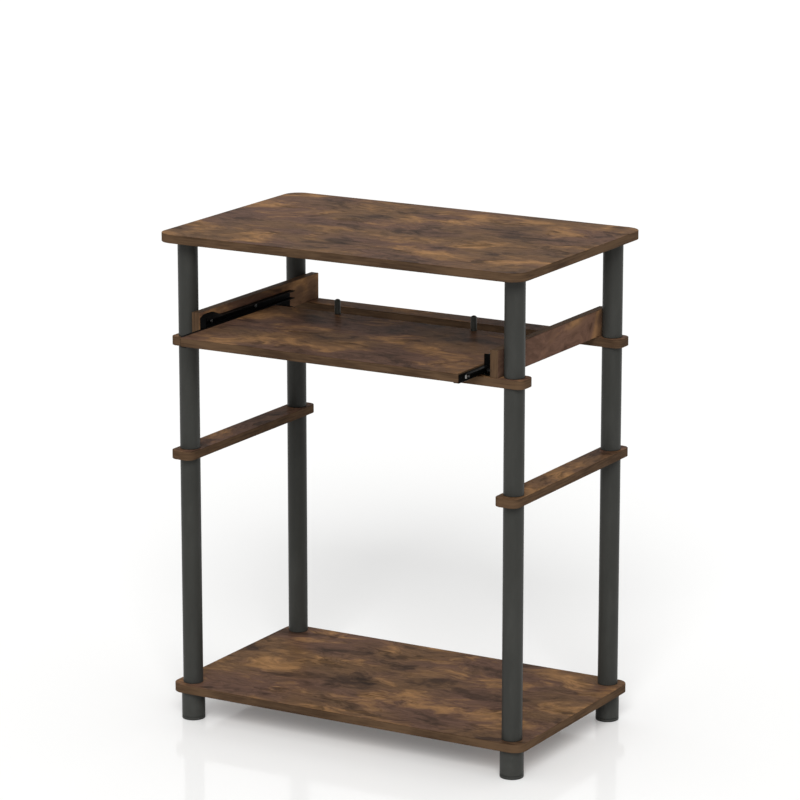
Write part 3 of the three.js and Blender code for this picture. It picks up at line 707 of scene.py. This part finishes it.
def makeFoot(node):
    # a round body with a fine ring groove near the floor, and a stud that goes up into the tube
    width, _, top = sizeOf(node)
    radius, groove, height = width / 2, footShape["groove"], footShape["grooveHeight"]
    stud, bodyTop = footShape["stud"], footShape["bodyTop"]
    outline = [
        (0, 0), (radius, 0), (radius, height - groove), (radius - groove, height), (radius, height + groove),
        (radius, bodyTop), (stud, bodyTop), (stud, top), (0, top),
    ]
    fine, bodyEdge, root = footShape["grooveEdge"], footShape["bodyEdge"], footShape["studRoot"]
    radii = [0, footShape["edge"], fine, fine, fine, bodyEdge, root, bodyEdge, 0]
    skin = turnedSkin(softened(outline, radii, footShape["steps"]), footShape["count"])
    makePiece(node + "_moulded", standing(node, skin), "desk", footMaterial, [node])


for level in ("lower", "middle", "upper"):
    for post in posts:
        makeTube(level + "_tube_" + post)
for post in posts:
    makeFoot("foot_" + post)
for level in ("mid_rail", "stretcher", "desktop"):
    for post in posts:
        for place in frame["nodes"][level + "_stud_" + post].material_slots:
            place.material = zincMaterial
print("posts made")

# Keyboard stops
stopShape = {
    "spigot": 0.0025, "spigotTop": 0.0082, "dome": 0.0032, "domeSteps": 8,
    "corners": (0, 0.0005, 0.0002, 0.0004, 0), "steps": 3, "count": 40,
}


def makeStop(node):
    # a peg with a domed top, on a spigot in the tray's hole
    width, _, top = sizeOf(node)
    spigot, foot = stopShape["spigot"], stopShape["spigotTop"]
    outline = [(0, 0), (spigot, 0), (spigot, foot), (width / 2, foot)]
    skin = turnedSkin(domedProfile(outline, width / 2, top, stopShape), stopShape["count"])
    makePiece(node + "_moulded", standing(node, skin), "tray", stopMaterial, [node])


for side in ("left", "right"):
    makeStop(side + "_keyboard_stop")
print("keyboard stops made")

# Roller slides
slideShape = {
    "steel": 0.0012, "bend": 0.0005, "steps": 3,
    "hoodLength": 0.056, "hoodRamp": 0.01, "hoodTail": 0.026, "hoodSteps": 4,
    "hoodRise": 0.008, "hoodFront": 0.5, "innerRise": 0.88,  # shares of the rise: front end, inner bend
    "upperTrack": 0.0148, "webBend": 0.0012, "tabArris": 0.0004,
    "stopHeight": 0.0024, "stopLength": 0.004, "stopRamp": 0.0006, "stopPlay": 0.0003,
    "trayLip": 0.0082, "lipBend": 0.001, "runnerStart": 0.015, "runnerGap": 0.0008,
    "runnerLead": (0.004, 0.0015), "runnerTail": (0.0025, 0.0008),
    "sheared": (0.96, 0.96, 0.2, 0, 0, 0.1, 0.96, 0.96),  # how much of the runner is cut back, along the rail
}


def sweptSkin(section, weights, stations, lift):
    # Section rows are x, z and arris; a point at y = stations[i] is raised or moved by the sum over each
    # weight of weight x lift(i). lift is stations x weights x (x, z). The ends are closed flat, and the long
    # faces look inward.
    shift = np.einsum("sw,kwc->ksc", weights, lift)
    flat = section[None, :, :2] + shift
    rows, count = flat.shape[:2]
    y = np.repeat(stations[:, None], count, axis=1)
    points = np.stack([flat[..., 0], y, flat[..., 1]], axis=-1).reshape(-1, 3)
    ids = np.arange(rows * count).reshape(rows, count)
    faces = skinFaces(ids)
    for row, side in ((0, 1), (-1, -1)):
        faces += flatFaces(points, [ids[row]], [0, 2], side)
    return points, faces, {"arris": np.tile(section[:, 2], rows)}


def turnOutward(points, faces):
    # turns every face round where the closed skin has a negative volume
    halves = [face[:3] for face in faces] + [[face[0], *face[2:]] for face in faces if len(face) == 4]
    a, b, c = points[np.array(halves)].transpose(1, 0, 2)
    whole = np.einsum("ij,ij->i", a, np.cross(b, c)).sum()
    return faces if whole > 0 else [face[::-1] for face in faces]


def placeRail(node, side, points):
    # puts points that were made for the right side in their node's place, mirrored for the left side
    low, high = boxOf(node)
    x = low[0] + points[:, 0] if side > 0 else high[0] - points[:, 0]
    return np.column_stack([x, points[:, 1:] + low[1:]])


def travelStops(name):
    # where the two stops start along the rail, to hold the rear roller's axis at the ends of its range
    front, roller, shape = boxOf(name + "_cabinet_rail")[0][1], name + "_rear_roller", slideShape
    axis, radius = middleOf(roller)[1], sizeOf(roller)[2] / 2
    above = radius - shape["stopHeight"] + shape["stopPlay"]
    reach = math.sqrt(radius**2 - above**2) + shape["stopPlay"]
    travel = next(joint["range_m"] for joint in frame["joints"] if joint["name"] == "tray_slide")
    closed, opened = axis - travel[0] + reach, axis - travel[1] - reach
    return [opened - shape["stopLength"] - front, closed - front]


def makeCabinetRail(name, side):
    # A channel: its web lies against the panel, and three flanges point to the tray. The web rises at the
    # front into the hood, with the top flange sloping up to it; the lower flange rises at the two travel
    # stops. A tab closes the front end above the tracks.
    node, shape = name + "_cabinet_rail", slideShape
    web, length, height = sizeOf(node)
    steel, bend, track, rise = shape["steel"], shape["bend"], shape["upperTrack"], shape["hoodRise"]
    tip, flange, inner = 0.0, height - rise, web - steel
    corners = [
        (tip, 0, 0, 0), (web, 0, 0, 0), (web, flange, 1, 0), (tip, flange, 0, 0), (tip, flange - steel, 0, 0),
        (inner, flange - steel, shape["innerRise"], 0), (inner, track + steel, 0, 0),
        (tip, track + steel, 0, 0), (tip, track, 0, 0), (inner, track, 0, 0),
        (inner, steel, 0, 1), (tip, steel, 0, 1),
    ]
    section = softened(corners, [bend] + [shape["webBend"]] * 2 + [bend] * 9, shape["steps"], closed=True)
    weights, section = section[:, 2:4], section[:, [0, 1, 4]]
    tail, front = shape["hoodTail"], shape["hoodFront"]
    q = np.linspace(0, 1, shape["hoodSteps"] + 1)
    smooth = q * q * (3 - 2 * q)
    hoodY = np.concatenate([[0], shape["hoodRamp"] * q[1:], shape["hoodLength"] - tail + tail * q])
    hoodHigh = np.concatenate([[front], front + (1 - front) * smooth[1:], 1 - smooth])
    edge = np.array([-shape["stopRamp"], 0, shape["stopLength"], shape["stopLength"] + shape["stopRamp"]])
    stopEdges = [start + edge for start in travelStops(name)]
    stations = np.unique(np.concatenate([hoodY, *stopEdges, [length]]).round(7))
    stations[0] = steel / 2
    lift = np.zeros((len(stations), 2, 2))
    lift[:, 0, 1] = np.interp(stations, hoodY, hoodHigh) * rise
    lift[:, 1, 1] = sum(np.interp(stations, edges, [0, 1, 1, 0]) for edges in stopEdges) * shape["stopHeight"]
    points, faces, marks = sweptSkin(section, weights, stations, lift)
    tabTop = flange + front * rise
    tab, tabFaces, tabMarks = boardSkin(web, tabTop - track, steel, bend, arris=shape["tabArris"])
    tab = tab[:, [0, 2, 1]] + [web / 2, steel / 2, (track + tabTop) / 2]
    faces += [[number + len(points) for number in face[::-1]] for face in tabFaces]
    marks = {"arris": np.concatenate([marks["arris"], tabMarks["arris"]])}
    if side < 0:
        faces = [face[::-1] for face in faces]
    skin = placeRail(node, side, np.concatenate([points, tab])), faces, marks
    makePiece(node + "_pressed", skin, "desk", slideMaterial, [node])


def makeTrayRail(name, side):
    # An angle: a lip under the tray and a web up its side, with a runner that rides on the front roller.
    # The runner starts behind the rail's front end and is sheared off ahead of the rear roller.
    node, shape = name + "_tray_rail", slideShape
    runner, length, top = sizeOf(node)
    steel, bend, lipBend = shape["steel"], shape["bend"], shape["lipBend"]
    tip, web = 0.0, shape["trayLip"] + steel
    corners = [
        (tip, 0, 0), (web, 0, 0), (web, top - steel, 0), (runner, top - steel, 1), (runner, top, 1),
        (web - steel, top, 0), (web - steel, steel, 0), (tip, steel, 0),
    ]
    radii = [bend, lipBend, bend, bend, bend, lipBend, bend, bend]
    section = softened(corners, radii, shape["steps"], closed=True)
    weights, section = section[:, 2:3], section[:, [0, 1, 3]]
    start = shape["runnerStart"]
    end = boxOf(name + "_rear_roller")[0][1] - shape["runnerGap"] - boxOf(node)[0][1]
    lead, tail = [start - step for step in shape["runnerLead"]], [end - step for step in shape["runnerTail"]]
    stations = np.array([0, *lead, start, *tail, end, length])
    lift = np.zeros((len(stations), 1, 2))
    lift[:, 0, 0] = -np.array(shape["sheared"]) * (runner - web)
    points, faces, marks = sweptSkin(section, weights, stations, lift)
    points = placeRail(node, side, points)
    skin = points, turnOutward(points, faces), marks
    makePiece(node + "_pressed", skin, "tray", slideMaterial, [node])


for name, side in {"left": -1, "right": 1}.items():
    makeCabinetRail(name, side)
    makeTrayRail(name, side)
print("slide rails made")

rollerShape = {
    "bore": 0.0023, "edge": 0.0007, "fineEdge": 0.0001, "dish": 0.0004, "steps": 4, "count": 48,
    "hub": (0.0008, 0.0011), "tread": (0.001, 0.0013),  # where the dish starts and where it is full
}
pinShape = {
    "shank": 0.002, "dome": 0.0008, "domeSteps": 6, "corners": (0, 0.0003, 0.0001, 0),
    "steps": 3, "count": 32,
}
rivetShape = {"head": 0.0023, "length": 0.004, "behind": 0.0082, "below": 0.0005}
panelScrewShape = {"headRadius": 0.0038, "headHeight": 0.0022, "shankLength": 0.03, "shankRadius": 0.0017}
screwShape = {
    "shank": 0.0017, "tip": 0.002, "corners": (0, 0.0003, 0.0001, 0), "steps": 2, "count": 48,
    "head": 0.0018, "flatHead": 0.0005, "flatFrom": 0.0125,  # a screw this long has the flat head
    "rings": 14, "ringPower": 0.9, "domeFall": 0.85, "domePower": 2.6, "rimStart": 0.85, "rimArris": 0.6,
    "recess": 0.5, "slotLength": 0.55, "slotWidth": 0.13, "slotWall": 0.07, "slotEnd": 0.3,
}


def makeRoller(node):
    # a wheel with rounded tread edges and a shallow dish in each side
    width, _, height = sizeOf(node)
    radius, bore, dish = height / 2, rollerShape["bore"], rollerShape["dish"]
    (hub, hubFoot), (tread, treadFoot) = rollerShape["hub"], rollerShape["tread"]
    near = [
        (bore, 0), (bore + hub, 0), (bore + hubFoot, dish), (radius - treadFoot, dish), (radius - tread, 0),
        (radius, 0),
    ]
    outline = near + [(distance, width - depth) for distance, depth in near[::-1]]
    fine = [rollerShape["fineEdge"]] * 5
    profile = softened(outline, fine + [rollerShape["edge"]] * 2 + fine, rollerShape["steps"], closed=True)
    skin = turnedSkin(profile, rollerShape["count"], looped=True)
    makePiece(node + "_moulded", lying(node, skin, width / 2), node, rollerMaterial, [node])


def pinSkin(head, length):
    # made along z from 0, with a head that is a low dome at the far end
    shank = pinShape["shank"]
    outline = [(0, 0), (shank, 0), (shank, length - pinShape["dome"])]
    return turnedSkin(domedProfile(outline, head, length, pinShape), pinShape["count"])


def makePin(node, body, direction):
    # the head is on the side that direction names
    length, _, width = sizeOf(node)
    skin = lying(node, pinSkin(width / 2, length), length / 2, direction)
    makePiece(node + "_riveted", skin, body, zincMaterial, [node])


def makeTrayRivet(name, side):
    # a small rivet through the tray rail's web, behind its front screw
    railLow, railHigh = boxOf(name + "_tray_rail")
    points, faces, marks = pinSkin(rivetShape["head"], rivetShape["length"])
    web = slideShape["trayLip"] + slideShape["steel"] + pinShape["dome"] - rivetShape["length"]
    place = middleOf(name + "_tray_screw_front") + [0, rivetShape["behind"], -rivetShape["below"]]
    place[0] = railLow[0] + web if side > 0 else railHigh[0] - web
    skin = turnToX(points, side) + place, faces, marks
    # the rivet takes the darker copy of the zinc, which is painted shade
    makePiece(name + "_tray_rivet", skin, "tray", shadedZincMaterial)


def slotShare(across, along):
    # 1 in a slot and 0 outside it, with soft steps at its walls and towards its ends
    walls = np.clip((screwShape["slotWidth"] - abs(across)) / screwShape["slotWall"] + 0.5, 0, 1)
    return walls * np.clip((screwShape["slotLength"] - abs(along)) / screwShape["slotEnd"], 0, 1)


def screwSkin(headRadius, headHeight, shankLength, shankRadius):
    # Made along z with the head's underside at 0 and the shank going down. Its top is a dome with a cross
    # recess of two slots.
    ring = np.linspace(0, 1, screwShape["rings"])[:, None] ** screwShape["ringPower"]
    angle = np.linspace(0, 2 * np.pi, screwShape["count"], endpoint=False)
    x, y = ring * np.cos(angle), ring * np.sin(angle)
    recess = np.maximum(slotShare(x, y), slotShare(y, x)) * screwShape["recess"] * headHeight
    dome = np.clip(1 - screwShape["domeFall"] * ring ** screwShape["domePower"], 0, 1)
    height = headHeight * np.sqrt(dome) - recess
    top = np.stack([headRadius * x, headRadius * y, height], axis=-1)[::-1]
    tip = -shankLength + screwShape["tip"]
    outline = [(0, -shankLength), (shankRadius, tip), (shankRadius, 0), (headRadius, 0)]
    shank = softened(outline, screwShape["corners"], screwShape["steps"])
    rim = screwShape["rimArris"] * (ring[::-1, 0] > screwShape["rimStart"])
    rings = np.concatenate([turned(shank, screwShape["count"]), top])
    return ringSkin(rings, np.concatenate([shank[:, 2], rim]))


def makeRailScrew(node, body, direction, material):
    # the head lies on the side that direction names
    length, _, width = sizeOf(node)
    head = screwShape["head"] if length < screwShape["flatFrom"] else screwShape["flatHead"]
    skin = screwSkin(width / 2, head, length - head, screwShape["shank"])
    skin = lying(node, skin, (head - (length - head)) / 2, direction)
    makePiece(node + "_driven", skin, body, material, [node])


def makePanelScrew(name, side, board):
    # driven up through the stretcher into the end of the slide panel, its head below the stretcher
    points, faces, marks = screwSkin(**panelScrewShape)
    place = [middleOf(side + "_slide_panel")[0], middleOf(board)[1], boxOf(board)[0][2]]
    makePiece(name, (points * [1, -1, -1] + place, faces, marks), "desk", zincMaterial)


for name, side in {"left": -1, "right": 1}.items():
    makePanelScrew(name + "_panel_screw_front", name, "front_stretcher")
    makePanelScrew(name + "_panel_screw_rear", name, "back_stretcher")
    makeRoller(name + "_front_roller")
    makeRoller(name + "_rear_roller")
    makePin(name + "_front_roller_pin", "desk", -side)
    makePin(name + "_rear_roller_pin", "tray", side)
    makeTrayRivet(name, side)
    for place in ("front", "rear"):
        # the cabinet screws take the darker copy of the zinc, which is painted shade
        makeRailScrew(name + "_cabinet_screw_" + place, "desk", -side, shadedZincMaterial)
        makeRailScrew(name + "_tray_screw_" + place, "tray", side, zincMaterial)
print("rollers, pins and screws made")

# Floor and light
studio = {
    "floorSize": 40.0, "floorColour": (0.985, 0.985, 0.975, 1), "floorVeil": 0.14, "floorSpecular": 0.1,
    "floorCloud": (3.0, 3, 0.5), "floorSpan": (0.3, 0.7), "floorRoughness": (0.08, 0.12),
    "world": 0.66, "keyStrength": 2.2, "keyAngle": 28, "keyHeight": 36, "keyTurn": 27,
}
white = (1, 1, 1, 1)


def makeFloorMaterial():
    # a pale floor whose shadows are lifted by a share of plain white, for the camera and for reflections
    material, tree, shader = startMaterial("studioFloor")
    cloud = noise(tree, objectPlace(tree), studio["floorCloud"])
    feed(tree, shader, {
        "Base Color": studio["floorColour"],
        "Roughness": ramp(tree, cloud, studio["floorSpan"], studio["floorRoughness"]),
        "Specular IOR Level": studio["floorSpecular"],
    })
    veil = addNode(tree, "ShaderNodeEmission", {"Color": white, "Strength": 1.0})
    rays = addNode(tree, "ShaderNodeLightPath").outputs
    seen = added(tree, rays["Is Camera Ray"], rays["Is Glossy Ray"], clamp=True)
    share = scaled(tree, seen, studio["floorVeil"])
    mixed = addNode(tree, "ShaderNodeMixShader", {0: share, 1: shader.outputs[0], 2: veil.outputs[0]})
    output = next(node for node in tree.nodes if node.type == "OUTPUT_MATERIAL")
    tree.links.new(mixed.outputs[0], output.inputs["Surface"])
    return material


half = studio["floorSize"] / 2
floorMesh = bpy.data.meshes.new("floor")
floorCorners = [(-half, -half, 0), (half, -half, 0), (half, half, 0), (-half, half, 0)]
floorMesh.from_pydata(floorCorners, [], [(0, 1, 2, 3)])
floorMesh.materials.append(makeFloorMaterial())
floor = bpy.data.objects.new("floor", floorMesh)
bpy.context.scene.collection.objects.link(floor)

# The world lights the desk softly, and is plain white where it is seen or reflected
world = bpy.data.worlds.new("studio")
bpy.context.scene.world = world
world.use_nodes = True
worldTree = world.node_tree
worldTree.nodes.clear()
rays = addNode(worldTree, "ShaderNodeLightPath").outputs
seen = added(worldTree, rays["Is Camera Ray"], rays["Is Glossy Ray"])
seen = added(worldTree, seen, rays["Is Transmission Ray"], clamp=True)
lights = [
    addNode(worldTree, "ShaderNodeBackground", {"Color": white, "Strength": strength}).outputs[0]
    for strength in (studio["world"], 1.0)
]
either = addNode(worldTree, "ShaderNodeMixShader", {0: seen, 1: lights[0], 2: lights[1]})
addNode(worldTree, "ShaderNodeOutputWorld", {"Surface": either.outputs[0]})

keyData = bpy.data.lights.new("key", "SUN")
keyData.energy = studio["keyStrength"]
keyData.angle = math.radians(studio["keyAngle"])
key = bpy.data.objects.new("key", keyData)
key.rotation_euler = (math.radians(90 - studio["keyHeight"]), 0, math.radians(studio["keyTurn"]))
bpy.context.scene.collection.objects.link(key)
bpy.context.scene.view_settings.view_transform = "Standard"
print("floor and light made")
